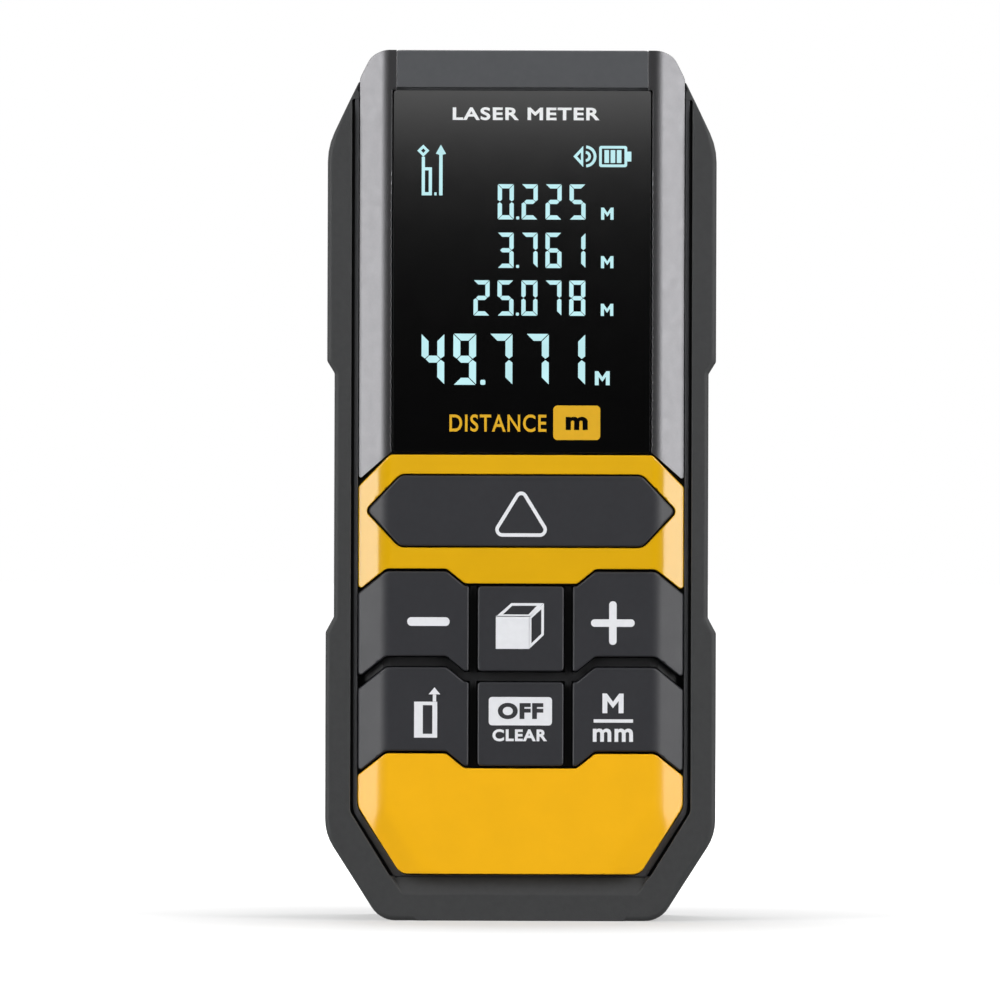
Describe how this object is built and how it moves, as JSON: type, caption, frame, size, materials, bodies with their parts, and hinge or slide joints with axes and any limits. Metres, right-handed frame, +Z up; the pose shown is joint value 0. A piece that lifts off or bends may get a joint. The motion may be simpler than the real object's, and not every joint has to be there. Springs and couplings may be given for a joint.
{
  "type": "laser distance meter",
  "caption": "Pocket laser distance meter: upright case in a wraparound rubber bumper, with a tall display, a hexagonal measure key over stepped small keys, and a battery door at the back.",
  "frame": {"origin": "centre of the underside of the bumper's foot, on which the meter stands", "axes": "+Z up to the laser end, -Y out of the display and keys, +X to the viewer's right when facing the display"},
  "size_m": [0.0516, 0.027, 0.115],
  "materials": {
    "casing": "fine texture",
    "cap": "satin",
    "bezel": "satin paint",
    "bumper": "fine texture",
    "key": "smooth",
    "yellow": "gloss",
    "window": "polished black",
    "lens": "polished",
    "seal": "smooth",
    "label": "blank printed film",
    "black_plastic": "moulded",
    "diffuser": "translucent white",
    "flex": "polyimide film",
    "board": "solder mask",
    "steel": "satin",
    "spring": "nickel plated",
    "contact": "nickel plated",
    "screw": "zinc plated",
    "brass": "turned",
    "cell_wrap": "plain wrap"
  },
  "bodies": {
    "case": {"front_housing": "casing", "rear_housing": "casing", "housing_seal": "seal", "bumper": "bumper", "display_bezel": "bezel", "display_window": "window", "upper_cover": "yellow", "lower_cover": "yellow", "top_cap": "cap", "rear_label": "label", "key_frame": "casing", "measure_dome": "steel", "minus_dome": "steel", "function_dome": "steel", "plus_dome": "steel", "reference_dome": "steel", "clear_dome": "steel", "units_dome": "steel", "display_panel": "black_plastic", "display_backlight": "diffuser", "display_flex": "flex", "main_board": "board", "processor_chip": "black_plastic", "buzzer": "black_plastic", "sensor_board": "board", "optics_block": "black_plastic", "receiver_lens": "lens", "receiver_sensor": "steel", "laser_module": "brass", "laser_diode": "steel", "laser_window": "lens", "battery_spring_left": "spring", "battery_left": "cell_wrap", "contact_plate_left": "contact", "battery_spring_right": "spring", "battery_right": "cell_wrap", "contact_plate_right": "contact", "case_screw_lower_right": "screw", "case_screw_lower_left": "screw", "case_screw_upper_right": "screw", "case_screw_upper_left": "screw", "board_screw_right": "screw", "board_screw_left": "screw"},
    "measure_key": {"measure_key": "key"},
    "minus_key": {"minus_key": "key"},
    "function_key": {"function_key": "key"},
    "plus_key": {"plus_key": "key"},
    "reference_key": {"reference_key": "key"},
    "clear_key": {"clear_key": "key"},
    "units_key": {"units_key": "key"},
    "door": {"battery_door": "casing", "battery_door_seal": "seal"}
  },
  "joints": [
    {"name": "measure_key_press", "type": "slide", "parent": "case", "child": "measure_key", "axis": [0, 1, 0], "range_m": [0, 0.0005], "stiffness_N_per_m": 2000},
    {"name": "minus_key_press", "type": "slide", "parent": "case", "child": "minus_key", "axis": [0, 1, 0], "range_m": [0, 0.0005], "stiffness_N_per_m": 2000},
    {"name": "function_key_press", "type": "slide", "parent": "case", "child": "function_key", "axis": [0, 1, 0], "range_m": [0, 0.0005], "stiffness_N_per_m": 2000},
    {"name": "plus_key_press", "type": "slide", "parent": "case", "child": "plus_key", "axis": [0, 1, 0], "range_m": [0, 0.0005], "stiffness_N_per_m": 2000},
    {"name": "reference_key_press", "type": "slide", "parent": "case", "child": "reference_key", "axis": [0, 1, 0], "range_m": [0, 0.0005], "stiffness_N_per_m": 2000},
    {"name": "clear_key_press", "type": "slide", "parent": "case", "child": "clear_key", "axis": [0, 1, 0], "range_m": [0, 0.0005], "stiffness_N_per_m": 2000},
    {"name": "units_key_press", "type": "slide", "parent": "case", "child": "units_key", "axis": [0, 1, 0], "range_m": [0, 0.0005], "stiffness_N_per_m": 2000},
    {"name": "battery_door_swing", "type": "hinge", "parent": "case", "child": "door", "pos_m": [0, 0.0135, 0.0092], "axis": [-1, 0, 0], "range_deg": [0, 75]}
  ]
}
